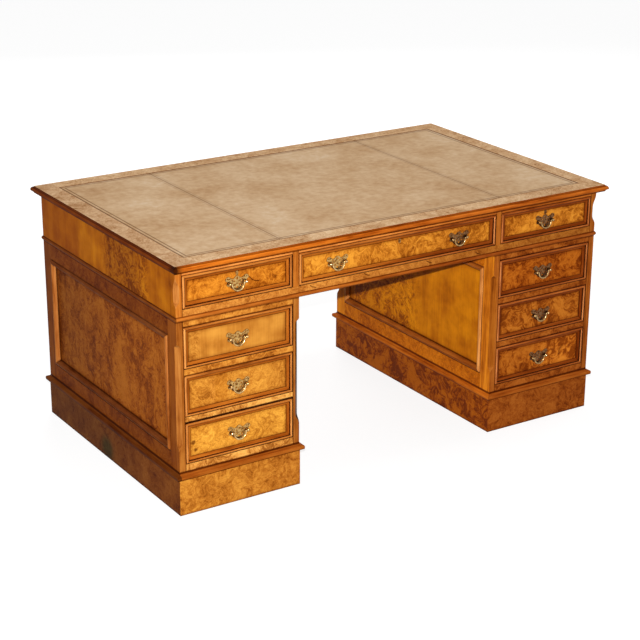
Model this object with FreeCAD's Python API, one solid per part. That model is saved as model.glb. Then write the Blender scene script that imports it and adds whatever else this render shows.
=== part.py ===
import FreeCAD, Part

import functools
import math
import os

# Partners desk in millimetres: X to the right, the photographed front towards -Y, Z up from the floor.

# Heights, from the floor up
PLINTH_HEIGHT = 117.0
PLINTH_MOULDING_HEIGHT = 20.0
PEDESTAL_HEIGHT = 464.0
FRIEZE_HEIGHT = 152.0
TOP_THICKNESS = 22.0

# Plan sizes
KNEEHOLE_WIDTH = 720.0
PEDESTAL_WIDTH = 406.0
BODY_DEPTH = 896.0
PLINTH_PROUD = 2.0

# Boards of the case
STILE = 22.0
RAIL_DEPTH = 28.0
SIDE_STILE = 50.0
SIDE_RAIL = 50.0
PARTITION = 12.0
CASE_BOARD = 10.0
UNDERBOARD = 8.0
PLINTH_BOARD = 20.0
RUNNER_WIDTH = 18.0
SHELF_THICKNESS = 12.0
SHELF_HEIGHT = 225.0
SHELF_SETBACK = 13.0

# Frieze and pedestal rails
FRIEZE_BOTTOM_RAIL = 34.0
FRIEZE_TOP_RAIL = 17.5
BOTTOM_RAIL = 22.5
MIDDLE_RAIL = 20.25
TOP_RAIL = 20.0
DRAWERS_HIGH = 3

# Stopped chamfers on the corners, but not the outer ones behind or the right pedestal's outer one in front
CHAMFER_LEG = 13.0
PEDESTAL_CHAMFER_MARGIN = 63.0
PEDESTAL_STOP_LOW = 32.0
PEDESTAL_STOP_HIGH = 17.0
FRIEZE_CHAMFER_LOW = 37.0
FRIEZE_CHAMFER_HIGH = 8.0
FRIEZE_STOP_LOW = 27.0
FRIEZE_STOP_HIGH = 55.0

# Desk top: leather panels in a border with a moulded edge
TOP_FLAT_OVERHANG = 12.0
TOP_FLAT_OVERHANG_DEPTH = 25.0
BORDER_WIDTH = 59.0
LEATHER_THICKNESS = 1.6
LEATHER_SINK = 0.4
LEATHER_GAP = 0.8
CENTRE_LEATHER_WIDTH = 800.0
EDGE_STEP = 2.2
EDGE_STEP_WIDTH = 1.5
EDGE_OVOLO_WIDTH = 7.5
EDGE_OVOLO_HEIGHT = 10.3
EDGE_NOSE = 2.0
EDGE_UNDERCUT = 8.0

# Waist bead and plinth moulding
WAIST_BEAD_HEIGHT = 14.0
WAIST_BEAD_PROUD = 4.5
PLINTH_NOSE_PROUD = 11.0
PLINTH_NOSE_HEIGHT = 11.0
PLINTH_COVE_RISE = 6.5
PLINTH_STRIP_INSIDE = 24.0

# Sunk side and door panels with their raised mouldings
PANEL_SINK = 8.0
PANEL_THICKNESS = 8.0
PANEL_MOULDING_WIDTH = 20.0
PANEL_MOULDING_PROUD = 5.5
PANEL_FILLET = 3.0
PANEL_BEAD_WIDTH = 15.0
PANEL_BEAD_RISE = 6.5

# Drawers
DRAWER_GAP = 1.0
RUNNER_GAP = 0.3
DRAWER_SIDE_GAP = 1.5
DRAWER_BACK_GAP = 10.0
FIELD_SINK = 8.0
DRAWER_FRONT = 16.0
DRAWER_SIDE = 10.0
DRAWER_BOTTOM = 5.0
DRAWER_BOTTOM_RAISE = 4.0
DRAWER_SIDE_DROP = 15.0
DRAWER_MOULDING_WIDTH = 17.0
DRAWER_BEAD_WIDTH = 8.0
DRAWER_BEAD_RISE = 2.5
DRAWER_BEAD_PROUD = 1.0
MOULDING_QUIRK = 1.0
MOULDING_LIP = 0.8
COVE_SAG = 1.6

# Brass handles
PLATE_THICKNESS = 1.2
PLATE_HALF_WIDTH = 37.0
PLATE_TOP = 16.0
PLATE_BOTTOM = 30.0
PLATE_PIERCINGS = ((0, 8, 2.6), (0, -18, 3.2), (8, -10, 2.6), (9, 1.5, 2.6), (16.5, 4.5, 2.2),
                   (16.5, -3, 2.0), (17, -11, 2.4), (31.5, 11, 1.8), (25.5, 10.5, 1.8))
POST_SPACING = 54.0
POST_RISE = -3.5
PIN_OUT = 8.0
PIN_RADIUS = 1.62
PIN_CLEARANCE = 0.06
POST_HEAD = 4.5
POST_NECK = 2.4
POST_FLANGE = 4.0
POST_FLANGE_THICKNESS = 1.5
POST_SHANK = 2.0
SHANK_CLEARANCE = 0.3
NUT_RADIUS = 5.0
NUT_THICKNESS = 3.0
BAIL_DROP = 26.0
BAIL_NECK_BEND = 2.4
BAIL_END_RADIUS = 1.9
BAIL_MIDDLE_RADIUS = 2.9
BAIL_POST_GAP = 0.5
PIN_INSIDE = 3.5
CENTRE_HANDLE_INSET = 137.5
KEY_PLATE_RISE = 24.5
KEY_PLATE_HEIGHT = 13.5
KEY_PLATE_WIDTH = 8.0
KEYHOLE_RADIUS = 1.7

# Cupboard doors behind
DOOR_GAP = 1.0
DOOR_THICKNESS = 20.0
DOOR_STILE = 50.0
HINGE_LENGTH = 50.0
HINGE_INSET = 60.0
KNUCKLE_RADIUS = 3.0
KNUCKLE_PROUD = 0.3
KNUCKLE_GAP = 0.3
HINGE_PIN = 1.3
HINGE_PIN_CLEARANCE = 0.05
LEAF_THICKNESS = 1.0
LEAF_LET_IN = 0.7
LEAF_DEPTH = 18.0
KNOB_RADIUS = 11.0
KNOB_PROUD = 24.0
KNOB_STEM = 5.0
KNOB_ROSE = 9.0
KNOB_ROSE_THICKNESS = 2.0
DOOR_KEY_PLATE_RISE = 40.0

# Levels and lines that follow from the sizes above
PEDESTAL_BASE = PLINTH_HEIGHT + PLINTH_MOULDING_HEIGHT
FRIEZE_BASE = PEDESTAL_BASE + PEDESTAL_HEIGHT
TOP_BASE = FRIEZE_BASE + FRIEZE_HEIGHT
TOP_LEVEL = TOP_BASE + TOP_THICKNESS
INNER_X = KNEEHOLE_WIDTH / 2
OUTER_X = INNER_X + PEDESTAL_WIDTH
FACE_Y = BODY_DEPTH / 2
BAY_IN = INNER_X + STILE
BAY_OUT = OUTER_X - STILE
BAY_WIDTH = BAY_OUT - BAY_IN
BAY_CENTRE = (BAY_IN + BAY_OUT) / 2
RAIL_BACK = FACE_Y - RAIL_DEPTH
DRAWER_HEIGHT = (PEDESTAL_HEIGHT - BOTTOM_RAIL - TOP_RAIL - (DRAWERS_HIGH - 1) * MIDDLE_RAIL) / DRAWERS_HIGH
FRIEZE_DRAWER_BASE = FRIEZE_BASE + FRIEZE_BOTTOM_RAIL
FRIEZE_DRAWER_HEIGHT = FRIEZE_HEIGHT - FRIEZE_BOTTOM_RAIL - FRIEZE_TOP_RAIL
FIELD_Y = FACE_Y - FIELD_SINK
LEATHER_HALF_X = OUTER_X + TOP_FLAT_OVERHANG - BORDER_WIDTH
LEATHER_HALF_Y = FACE_Y + TOP_FLAT_OVERHANG_DEPTH - BORDER_WIDTH
CORE_TOP = TOP_LEVEL - LEATHER_SINK - LEATHER_THICKNESS
PLINTH_IN = INNER_X - PLINTH_PROUD
PLINTH_OUT = OUTER_X + PLINTH_PROUD
PLINTH_Y = FACE_Y + PLINTH_PROUD
DOOR_BASE = PEDESTAL_BASE + BOTTOM_RAIL
DOOR_HEIGHT = PEDESTAL_HEIGHT - BOTTOM_RAIL - TOP_RAIL

ORIGIN = FreeCAD.Vector(0, 0, 0)
X_AXIS = FreeCAD.Vector(1, 0, 0)
Y_AXIS = FreeCAD.Vector(0, 1, 0)
Z_AXIS = FreeCAD.Vector(0, 0, 1)


def box(x, y, z):
    """Box from three (low, high) spans."""
    size = [high - low for low, high in (x, y, z)]
    return Part.makeBox(*size, FreeCAD.Vector(x[0], y[0], z[0]))


def mirrored_x(shape):
    return shape.mirror(ORIGIN, X_AXIS)


def mirrored_y(shape):
    return shape.mirror(ORIGIN, Y_AXIS)


def turned_round(shape):
    """Half a turn about the upright axis, from the front of the desk to the back."""
    return shape.rotated(ORIGIN, Z_AXIS, 180)


def moved(shape, x, y, z):
    return shape.translated(FreeCAD.Vector(x, y, z))


def bulge(start, end, sag):
    """Point beside the middle of a chord, sag to its right."""
    along = (end[0] - start[0], end[1] - start[1])
    length = math.hypot(*along)
    middle = ((start[0] + end[0]) / 2, (start[1] + end[1]) / 2)
    return (middle[0] + along[1] / length * sag, middle[1] - along[0] / length * sag)


def outline_face(start, steps, place):
    """Face bounded by lines and three-point arcs: a step is (end,) or (via, end)."""
    edges = []
    here = place(*start)
    for step in steps:
        end = place(*step[-1])
        if len(step) == 2:
            edges.append(Part.Arc(here, place(*step[0]), end).toShape())
        else:
            edges.append(Part.LineSegment(here, end).toShape())
        here = end
    return Part.Face(Part.Wire(edges))


def mitred_strips(half_x, half_y, profile):
    """Four strips round a flat rectangle, lying on Z = 0, from a (start, steps) profile.

    The profile's first value runs outward from the rectangle's edge and its second runs up."""
    start, steps = profile
    points = [start] + [point for step in steps for point in step]
    inside = min(point[0] for point in points)
    outside = max(point[0] for point in points)
    height = max(point[1] for point in points)

    def side(half_long, half_across):
        def place(out, up):
            return FreeCAD.Vector(-half_long - outside, -half_across - out, up)

        face = outline_face(start, steps, place)
        bar = face.extrude(FreeCAD.Vector(2 * (half_long + outside), 0, 0))
        corners = [(-half_long - inside, -half_across - inside), (half_long + inside, -half_across - inside),
                   (half_long + outside, -half_across - outside),
                   (-half_long - outside, -half_across - outside)]
        plan = Part.makePolygon([FreeCAD.Vector(x, y, 0) for x, y in corners + corners[:1]])
        return bar.common(Part.Face(plan).extrude(FreeCAD.Vector(0, 0, height))).Solids[0]

    front = side(half_x, half_y)
    right = side(half_y, half_x).rotated(ORIGIN, Z_AXIS, 90)
    return [front, mirrored_y(front), right, mirrored_x(right)]


def stood_up(shape):
    """From lying on Z = 0 to standing on Y = 0 and facing -Y."""
    return shape.rotated(ORIGIN, X_AXIS, 90)


def moulding_frame(width, height, profile):
    return [stood_up(strip) for strip in mitred_strips(width / 2, height / 2, profile)]


def drawer_moulding_profile():
    shoulder = FIELD_SINK + DRAWER_BEAD_PROUD - DRAWER_BEAD_RISE
    bead = (-DRAWER_BEAD_WIDTH, shoulder)
    quirk = (-DRAWER_BEAD_WIDTH, shoulder - MOULDING_QUIRK)
    foot = (-DRAWER_MOULDING_WIDTH, MOULDING_LIP)
    crown = (-DRAWER_BEAD_WIDTH / 2, shoulder + DRAWER_BEAD_RISE)
    steps = [((0, shoulder),), (crown, bead), (quirk,), (bulge(quirk, foot, -COVE_SAG), foot),
             ((-DRAWER_MOULDING_WIDTH, 0),), ((0, 0),)]
    return (0, 0), steps


def panel_moulding_profile():
    shoulder = PANEL_SINK + PANEL_MOULDING_PROUD - PANEL_BEAD_RISE
    bead_end = (-PANEL_FILLET - PANEL_BEAD_WIDTH, shoulder)
    crown = (-PANEL_FILLET - PANEL_BEAD_WIDTH / 2, shoulder + PANEL_BEAD_RISE)
    steps = [((0, shoulder),), ((-PANEL_FILLET, shoulder),), (crown, bead_end),
             ((-PANEL_MOULDING_WIDTH, 0),), ((0, 0),)]
    return (0, 0), steps


def stopped_chamfer(low, high, low_run, high_run):
    """Cutter for an upright corner at X = 0, Y = 0 that points to +X and -Y, with curved ends."""
    depth = CHAMFER_LEG / math.sqrt(2)

    def place(out, z):
        return FreeCAD.Vector(out / math.sqrt(2), -out / math.sqrt(2), z)

    def curve(*poles):
        bezier = Part.BezierCurve()
        bezier.setPoles([place(*pole) for pole in poles])
        return bezier.toShape()

    def line(start, end):
        return Part.LineSegment(place(*start), place(*end)).toShape()

    low_end = low + low_run
    high_end = high - high_run
    low_middle = low + low_run / 2
    high_middle = high - high_run / 2
    edges = [line((depth, low), (0, low)),
             curve((0, low), (0, low_middle), (-depth, low_middle), (-depth, low_end)),
             line((-depth, low_end), (-depth, high_end)),
             curve((-depth, high_end), (-depth, high_middle), (0, high_middle), (0, high)),
             line((0, high), (depth, high)),
             line((depth, high), (depth, low))]
    reach = FreeCAD.Vector(CHAMFER_LEG, CHAMFER_LEG, 0)
    face = Part.Face(Part.Wire(edges)).translated(reach * -1)
    return face.extrude(reach * 2)


def desktop_core():
    return [box((-LEATHER_HALF_X, LEATHER_HALF_X), (-LEATHER_HALF_Y, LEATHER_HALF_Y), (TOP_BASE, CORE_TOP))]


def desktop_border():
    top = TOP_THICKNESS
    step = top - EDGE_STEP
    ovolo_out = BORDER_WIDTH + EDGE_STEP_WIDTH + EDGE_OVOLO_WIDTH
    ovolo_start = (BORDER_WIDTH + EDGE_STEP_WIDTH, step)
    ovolo_end = (ovolo_out, step - EDGE_OVOLO_HEIGHT)
    nose_end = (ovolo_out, step - EDGE_OVOLO_HEIGHT - EDGE_NOSE)
    under = (ovolo_out - EDGE_UNDERCUT, 0)
    ovolo_sag = -math.hypot(EDGE_OVOLO_WIDTH, EDGE_OVOLO_HEIGHT) / 5
    steps = [((0, top),), ((BORDER_WIDTH, top),), ((BORDER_WIDTH, step),), (ovolo_start,),
             (bulge(ovolo_start, ovolo_end, ovolo_sag), ovolo_end), (nose_end,),
             (bulge(nose_end, under, COVE_SAG), under), ((0, 0),)]
    strips = mitred_strips(LEATHER_HALF_X, LEATHER_HALF_Y, ((0, 0), steps))
    return [moved(strip, 0, 0, TOP_BASE) for strip in strips]


def leather_panels():
    half = CENTRE_LEATHER_WIDTH / 2
    depth = LEATHER_HALF_Y - LEATHER_GAP
    spans = [(-LEATHER_HALF_X + LEATHER_GAP, -half - LEATHER_GAP), (-half, half),
             (half + LEATHER_GAP, LEATHER_HALF_X - LEATHER_GAP)]
    return [box(span, (-depth, depth), (CORE_TOP, CORE_TOP + LEATHER_THICKNESS)) for span in spans]


def frieze_ends():
    right = box((BAY_OUT, OUTER_X), (-FACE_Y, FACE_Y), (FRIEZE_BASE, TOP_BASE))
    cutter = stopped_chamfer(FRIEZE_BASE + FRIEZE_CHAMFER_LOW, TOP_BASE - FRIEZE_CHAMFER_HIGH,
                             FRIEZE_STOP_LOW, FRIEZE_STOP_HIGH)
    right = right.cut(moved(cutter, OUTER_X, -FACE_Y, 0))
    return [right, mirrored_x(right)]


@functools.lru_cache(maxsize=None)
def frieze_frame():
    """Front frame of the frieze: bottom rail, two stiles and three top rails."""
    depth = (-FACE_Y, -RAIL_BACK)
    upper = (TOP_BASE - FRIEZE_TOP_RAIL, TOP_BASE)
    stile = box((INNER_X, BAY_IN), depth, (FRIEZE_DRAWER_BASE, TOP_BASE))
    outer_rail = box((BAY_IN, BAY_OUT), depth, upper)
    return [box((-BAY_OUT, BAY_OUT), depth, (FRIEZE_BASE, FRIEZE_DRAWER_BASE)),
            stile, mirrored_x(stile), outer_rail, mirrored_x(outer_rail),
            box((-INNER_X, INNER_X), depth, upper)]


def frieze_internals():
    floor = FRIEZE_BASE + UNDERBOARD
    upright = (floor, TOP_BASE)
    divider = box((INNER_X, BAY_IN), (-RAIL_BACK, RAIL_BACK), upright)
    half = PARTITION / 2
    end_partition = box((BAY_IN, BAY_OUT), (-half, half), upright)
    solids = [box((-BAY_OUT, BAY_OUT), (-RAIL_BACK, RAIL_BACK), (FRIEZE_BASE, floor)),
              divider, mirrored_x(divider), end_partition, mirrored_x(end_partition),
              box((-INNER_X, INNER_X), (-half, half), upright)]
    for low in (INNER_X - RUNNER_WIDTH, BAY_IN, BAY_OUT - RUNNER_WIDTH):
        runner = box((low, low + RUNNER_WIDTH), (-RAIL_BACK, -half), (floor, FRIEZE_DRAWER_BASE))
        solids += [runner, mirrored_x(runner), mirrored_y(runner), mirrored_x(mirrored_y(runner))]
    return solids


def waist_moulding():
    top = (0, WAIST_BEAD_HEIGHT)
    steps = [((WAIST_BEAD_PROUD, WAIST_BEAD_HEIGHT / 2), top), ((0, 0),)]
    strips = mitred_strips(OUTER_X, FACE_Y, ((0, 0), steps))
    return [moved(strip, 0, 0, FRIEZE_BASE) for strip in strips]


def drawer_base(level):
    """Opening's floor for a pedestal drawer, counted from the bottom."""
    return PEDESTAL_BASE + BOTTOM_RAIL + level * (DRAWER_HEIGHT + MIDDLE_RAIL)


@functools.lru_cache(maxsize=None)
def pedestal_frame(outer_chamfered):
    """Right pedestal's posts and rails with the hinge leaves' seats, its outer front post chamfered or plain."""
    upright = (PEDESTAL_BASE, FRIEZE_BASE)
    cutter = stopped_chamfer(PEDESTAL_BASE + PEDESTAL_CHAMFER_MARGIN, FRIEZE_BASE - PEDESTAL_CHAMFER_MARGIN,
                             PEDESTAL_STOP_LOW, PEDESTAL_STOP_HIGH)
    plain = box((BAY_OUT, OUTER_X), (-FACE_Y, -FACE_Y + SIDE_STILE), upright)
    chamfered = plain.cut(moved(cutter, OUTER_X, -FACE_Y, 0))
    inner = to_kneehole_side(chamfered)
    hinged = mirrored_y(plain)
    for z in hinge_levels():
        hinged = hinged.cut(moved(fixed_leaf_plate(), 0, 0, z))
    solids = [chamfered if outer_chamfered else plain, inner, hinged, mirrored_y(inner)]
    for x in ((INNER_X, BAY_IN), (BAY_OUT, OUTER_X)):
        length = (-FACE_Y + SIDE_STILE, FACE_Y - SIDE_STILE)
        solids.append(box(x, length, (PEDESTAL_BASE, PEDESTAL_BASE + SIDE_RAIL)))
        solids.append(box(x, length, (FRIEZE_BASE - SIDE_RAIL, FRIEZE_BASE)))
    bottom = box((BAY_IN, BAY_OUT), (-FACE_Y, -RAIL_BACK), (PEDESTAL_BASE, PEDESTAL_BASE + BOTTOM_RAIL))
    top = box((BAY_IN, BAY_OUT), (-FACE_Y, -RAIL_BACK), (FRIEZE_BASE - TOP_RAIL, FRIEZE_BASE))
    solids += [bottom, mirrored_y(bottom), top, mirrored_y(top)]
    for level in range(1, DRAWERS_HIGH):
        rail_top = drawer_base(level)
        solids.append(box((BAY_IN, BAY_OUT), (-FACE_Y, -RAIL_BACK), (rail_top - MIDDLE_RAIL, rail_top)))
    return solids


@functools.lru_cache(maxsize=None)
def pedestal_internals():
    """Right pedestal's boards, partition, runners and shelf."""
    bay = (BAY_IN, BAY_OUT)
    depth = (-RAIL_BACK, RAIL_BACK)
    half = PARTITION / 2
    floor = PEDESTAL_BASE + CASE_BOARD
    ceiling = FRIEZE_BASE - CASE_BOARD
    shelf = PEDESTAL_BASE + SHELF_HEIGHT
    solids = [box(bay, depth, (PEDESTAL_BASE, floor)), box(bay, depth, (ceiling, FRIEZE_BASE)),
              box(bay, (-half, half), (floor, ceiling)),
              box(bay, (half, FACE_Y - DOOR_THICKNESS - SHELF_SETBACK), (shelf - SHELF_THICKNESS, shelf))]
    for level in range(DRAWERS_HIGH):
        top = drawer_base(level)
        under = floor if level == 0 else top - MIDDLE_RAIL
        for low in (BAY_IN, BAY_OUT - RUNNER_WIDTH):
            solids.append(box((low, low + RUNNER_WIDTH), (-RAIL_BACK, -half), (under, top)))
    return solids


def side_panel_size():
    return BODY_DEPTH - 2 * SIDE_STILE, PEDESTAL_HEIGHT - 2 * SIDE_RAIL


def on_right_side(shape):
    """From standing and facing -Y to the outer side of the right pedestal."""
    turned = shape.rotated(ORIGIN, Z_AXIS, 90)
    return moved(turned, OUTER_X - PANEL_SINK, 0, PEDESTAL_BASE + PEDESTAL_HEIGHT / 2)


def to_kneehole_side(shape):
    """From the outer side of the right pedestal to its side in the kneehole."""
    return moved(mirrored_x(moved(shape, -BAY_CENTRE, 0, 0)), BAY_CENTRE, 0, 0)


def side_panels():
    width, height = side_panel_size()
    panel = box((-width / 2, width / 2), (0, PANEL_THICKNESS), (-height / 2, height / 2))
    outer = on_right_side(panel)
    inner = to_kneehole_side(outer)
    return [outer, inner, mirrored_x(outer), mirrored_x(inner)]


def panel_mouldings():
    width, height = side_panel_size()
    outer = [on_right_side(strip) for strip in moulding_frame(width, height, panel_moulding_profile())]
    right = outer + [to_kneehole_side(strip) for strip in outer]
    return right + [mirrored_x(strip) for strip in right]


def plinths():
    x = (PLINTH_IN, PLINTH_OUT)
    z = (0, PLINTH_HEIGHT)
    front = box(x, (-PLINTH_Y, -PLINTH_Y + PLINTH_BOARD), z)
    sides = [box((low, low + PLINTH_BOARD), (-PLINTH_Y + PLINTH_BOARD, PLINTH_Y - PLINTH_BOARD), z)
             for low in (PLINTH_IN, PLINTH_OUT - PLINTH_BOARD)]
    right = [front, mirrored_y(front)] + sides
    return right + [mirrored_x(board) for board in right]


def plinth_mouldings():
    nose_top = (PLINTH_NOSE_PROUD - MOULDING_QUIRK, PLINTH_NOSE_HEIGHT)
    nose = (PLINTH_NOSE_PROUD, PLINTH_NOSE_HEIGHT / 2)
    nose_foot = (PLINTH_NOSE_PROUD - MOULDING_QUIRK, 0)
    cove_foot = (PLINTH_NOSE_PROUD - 4 * MOULDING_QUIRK, PLINTH_NOSE_HEIGHT + MOULDING_QUIRK)
    cove_top = (-PLINTH_PROUD, PLINTH_NOSE_HEIGHT + MOULDING_QUIRK + PLINTH_COVE_RISE)
    steps = [(nose_foot,), (nose, nose_top), (cove_foot,), (bulge(cove_foot, cove_top, -COVE_SAG), cove_top),
             ((-PLINTH_PROUD, PLINTH_MOULDING_HEIGHT),), ((-PLINTH_STRIP_INSIDE, PLINTH_MOULDING_HEIGHT),),
             ((-PLINTH_STRIP_INSIDE, 0),)]
    profile = ((-PLINTH_STRIP_INSIDE, 0), steps)
    strips = mitred_strips((PLINTH_OUT - PLINTH_IN) / 2, PLINTH_Y, profile)
    right = [moved(strip, BAY_CENTRE, 0, PLINTH_HEIGHT) for strip in strips]
    return right + [mirrored_x(strip) for strip in right]


def post_places(handles):
    """Post centres, X and height above the drawer's centre, for handles at the given X places."""
    return [(x + side * POST_SPACING / 2, POST_RISE) for x in handles for side in (-1, 1)]


def upright_cylinder(radius, x, z, start, end):
    """Cylinder along Y between two Y places."""
    return Part.makeCylinder(radius, end - start, FreeCAD.Vector(x, start, z), Y_AXIS)


@functools.lru_cache(maxsize=None)
def drawer(width, height, handles):
    """Drawer for an opening, about X = 0 and Z = 0 of its centre, facing -Y, with its field on Y = 0."""
    half = width / 2 - DRAWER_GAP
    rise = height / 2 - DRAWER_GAP
    front = box((-half, half), (0, DRAWER_FRONT), (-rise, rise))
    for x, z in post_places(handles):
        front = front.cut(upright_cylinder(POST_SHANK + SHANK_CLEARANCE, x, z, 0, DRAWER_FRONT))
    box_half = width / 2 - DRAWER_SIDE_GAP
    foot = -height / 2 + RUNNER_GAP
    head = height / 2 - DRAWER_SIDE_DROP
    back = FIELD_Y - PARTITION / 2 - DRAWER_BACK_GAP
    side = box((box_half - DRAWER_SIDE, box_half), (DRAWER_FRONT, back), (foot, head))
    inside = (-box_half + DRAWER_SIDE, box_half - DRAWER_SIDE)
    floor = foot + DRAWER_BOTTOM_RAISE
    bottom = box(inside, (DRAWER_FRONT, back), (floor, floor + DRAWER_BOTTOM))
    rear = box(inside, (back - DRAWER_SIDE, back), (floor + DRAWER_BOTTOM, head))
    moulding = moulding_frame(2 * half, 2 * rise, drawer_moulding_profile())
    return [front, side, mirrored_x(side), bottom, rear] + moulding


def plate_outline():
    """Right half of the bat-wing outline, from the foot up to the crown."""
    w, top, foot = PLATE_HALF_WIDTH, PLATE_TOP, -PLATE_BOTTOM
    return [(0, foot), (7, foot + 3), (13, foot + 8), (19, foot + 11), (24, foot + 17), (w - 6, foot + 19),
            (w - 3, foot + 25), (w - 6, foot + 31), (w - 1, foot + 35), (w, top - 5), (w - 5, top),
            (w - 12, top - 1), (18, top - 6), (11, top - 7), (6, top - 2), (0, top)]


@functools.lru_cache(maxsize=None)
def back_plate():
    """Pierced plate that lies against Y = 0."""
    right = plate_outline()
    left = [(-x, z) for x, z in reversed(right[1:-1])]
    spline = Part.BSplineCurve()
    points = [FreeCAD.Vector(x, -PLATE_THICKNESS, z) for x, z in right + left]
    spline.interpolate(Points=points, PeriodicFlag=True)
    plate = Part.Face(Part.Wire(spline.toShape())).extrude(FreeCAD.Vector(0, PLATE_THICKNESS, 0))
    for x, z, radius in PLATE_PIERCINGS:
        for side in (-1, 1):
            plate = plate.cut(upright_cylinder(radius, side * x, z, -PLATE_THICKNESS, 0))
    for x, z in post_places([0]):
        plate = plate.cut(upright_cylinder(POST_SHANK + SHANK_CLEARANCE, x, z, -PLATE_THICKNESS, 0))
    return plate


@functools.lru_cache(maxsize=None)
def post():
    """Turned post about the Y axis through the drawer front, drilled across its head for the bail's pin."""
    nut_face = DRAWER_FRONT
    flange_face = -PLATE_THICKNESS
    neck_start = flange_face - POST_FLANGE_THICKNESS
    turned = upright_cylinder(NUT_RADIUS, 0, 0, nut_face, nut_face + NUT_THICKNESS)
    turned = turned.fuse(upright_cylinder(POST_SHANK, 0, 0, flange_face, nut_face))
    turned = turned.fuse(upright_cylinder(POST_FLANGE, 0, 0, neck_start, flange_face))
    turned = turned.fuse(upright_cylinder(POST_NECK, 0, 0, -PIN_OUT, neck_start))
    turned = turned.fuse(Part.makeSphere(POST_HEAD, FreeCAD.Vector(0, -PIN_OUT, 0)))
    bore = Part.makeCylinder(PIN_RADIUS + PIN_CLEARANCE, 4 * POST_HEAD,
                             FreeCAD.Vector(-2 * POST_HEAD, -PIN_OUT, 0), X_AXIS)
    return turned.cut(bore).removeSplitter()


@functools.lru_cache(maxsize=None)
def key_plate():
    """Small oval plate with a keyhole, against Y = 0."""
    half = KEY_PLATE_WIDTH / 2
    straight = KEY_PLATE_HEIGHT / 2 - half
    plate = box((-half, half), (-PLATE_THICKNESS, 0), (-straight, straight))
    for end in (-straight, straight):
        plate = plate.fuse(upright_cylinder(half, 0, end, -PLATE_THICKNESS, 0))
    hole = upright_cylinder(KEYHOLE_RADIUS, 0, straight, -PLATE_THICKNESS, 0)
    slot_half = KEYHOLE_RADIUS / 2
    slot = box((-slot_half, slot_half), (-PLATE_THICKNESS, 0), (-straight - KEYHOLE_RADIUS, straight))
    return plate.cut(hole.fuse(slot)).removeSplitter()


@functools.lru_cache(maxsize=None)
def handle_fittings(handles, keyed):
    """Plates and posts for handles at the given X places, with a key plate over the middle if keyed."""
    solids = [moved(back_plate(), x, 0, 0) for x in handles]
    solids += [moved(post(), x, 0, z) for x, z in post_places(handles)]
    if keyed:
        solids.append(moved(key_plate(), 0, 0, KEY_PLATE_RISE))
    return solids


@functools.lru_cache(maxsize=None)
def bail():
    """Round bow hung between the posts by pins turned out into their heads, about the handle's centre."""
    start_x = POST_SPACING / 2 - POST_HEAD - BAIL_POST_GAP
    arm_x = start_x - BAIL_NECK_BEND
    neck_foot = POST_RISE - BAIL_NECK_BEND
    bow_top = arm_x - BAIL_DROP
    diagonal = math.sqrt(0.5)

    def place(x, z):
        return FreeCAD.Vector(x, -PIN_OUT, z)

    neck = Part.Arc(place(start_x, POST_RISE),
                    place(start_x - BAIL_NECK_BEND * diagonal, neck_foot + BAIL_NECK_BEND * diagonal),
                    place(arm_x, neck_foot)).toShape()
    arm = Part.makeLine(place(arm_x, neck_foot), place(arm_x, bow_top))
    bow = Part.Arc(place(arm_x, bow_top), place(arm_x * diagonal, bow_top - arm_x * diagonal),
                   place(0, -BAIL_DROP)).toShape()
    sweep = Part.BRepOffsetAPI.MakePipeShell(Part.Wire([neck, arm, bow]))
    ends = ((neck, neck.FirstParameter, BAIL_END_RADIUS), (bow, bow.LastParameter, BAIL_MIDDLE_RADIUS))
    for edge, at, radius in ends:
        sweep.add(Part.Wire(Part.makeCircle(radius, edge.valueAt(at), edge.tangentAt(at))))
    sweep.build()
    sweep.makeSolid()
    pin_length = POST_HEAD + BAIL_POST_GAP + PIN_INSIDE
    pin = Part.makeCylinder(PIN_RADIUS, pin_length, place(start_x, POST_RISE), X_AXIS)
    half = sweep.shape().fuse(pin)
    return half.fuse(mirrored_x(half)).removeSplitter()


def hinge_levels():
    """Heights of the hinges' middles on a door."""
    return DOOR_BASE + HINGE_INSET, DOOR_BASE + DOOR_HEIGHT - HINGE_INSET


def hinge_x():
    return BAY_OUT - DOOR_GAP / 2


def hinge_y():
    return FACE_Y + KNUCKLE_RADIUS + KNUCKLE_PROUD


def leaf_plate(x):
    half = HINGE_LENGTH / 2
    return box((x, x + LEAF_THICKNESS), (FACE_Y - LEAF_DEPTH, FACE_Y), (-half, half))


def fixed_leaf_plate():
    return leaf_plate(BAY_OUT + LEAF_LET_IN - LEAF_THICKNESS)


def door_leaf_plate():
    return leaf_plate(BAY_OUT - DOOR_GAP - LEAF_LET_IN)


def knuckle(plate, low, high):
    """Knuckle between two heights, joined to its leaf's plate."""
    centre = FreeCAD.Vector(hinge_x(), hinge_y(), low)
    bounds = plate.BoundBox
    web = box((bounds.XMin, bounds.XMax), (FACE_Y, hinge_y()), (low, high))
    return Part.makeCylinder(KNUCKLE_RADIUS, high - low, centre).fuse(web)


@functools.lru_cache(maxsize=None)
def hinge_parts():
    """Fixed and moving halves of a hinge on the right rear door, about Z = 0."""
    half = HINGE_LENGTH / 2
    third = HINGE_LENGTH / 6
    foot = FreeCAD.Vector(hinge_x(), hinge_y(), -half)
    fixed = fixed_leaf_plate()
    for low, high in ((-half, -third - KNUCKLE_GAP), (third + KNUCKLE_GAP, half)):
        fixed = fixed.fuse(knuckle(fixed_leaf_plate(), low, high))
    fixed = fixed.fuse(Part.makeCylinder(HINGE_PIN, HINGE_LENGTH, foot))
    moving = door_leaf_plate().fuse(knuckle(door_leaf_plate(), -third, third))
    bore = Part.makeCylinder(HINGE_PIN + HINGE_PIN_CLEARANCE, HINGE_LENGTH, foot)
    return fixed.removeSplitter(), moving.cut(bore).removeSplitter()


def hinge_leaves():
    right = [moved(hinge_parts()[0], 0, 0, z) for z in hinge_levels()]
    return right + [mirrored_x(leaf) for leaf in right]


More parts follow.
